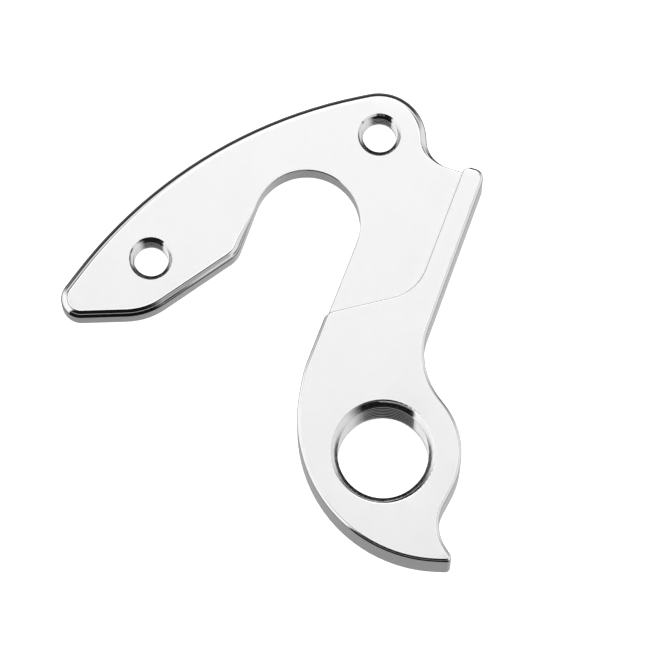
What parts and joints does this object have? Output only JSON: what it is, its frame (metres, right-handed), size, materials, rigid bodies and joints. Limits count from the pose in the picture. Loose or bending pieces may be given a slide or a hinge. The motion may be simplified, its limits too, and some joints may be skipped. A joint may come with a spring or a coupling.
{
  "type": "bicycle derailleur hanger",
  "caption": "Flat machined hanger that carries a rear derailleur: thin curved attachment arm with threaded holes, round axle slot, thicker body with a large threaded hole and a hooked tail.",
  "frame": {"origin": "on the axis of the M10x1 derailleur thread, in the plane of the flat outer face that the derailleur bolts against", "axes": "+Z leaves the stepped inner face, which looks at the wheel; +Y runs up from the derailleur thread towards the upper attachment hole; +X points towards the rear of the bicycle"},
  "size_m": [0.0418, 0.0478, 0.008],
  "materials": {
    "anodised_aluminium": "bead-blasted and clear anodised"
  },
  "bodies": {
    "root": {"hanger": "anodised_aluminium"}
  },
  "joints": []
}
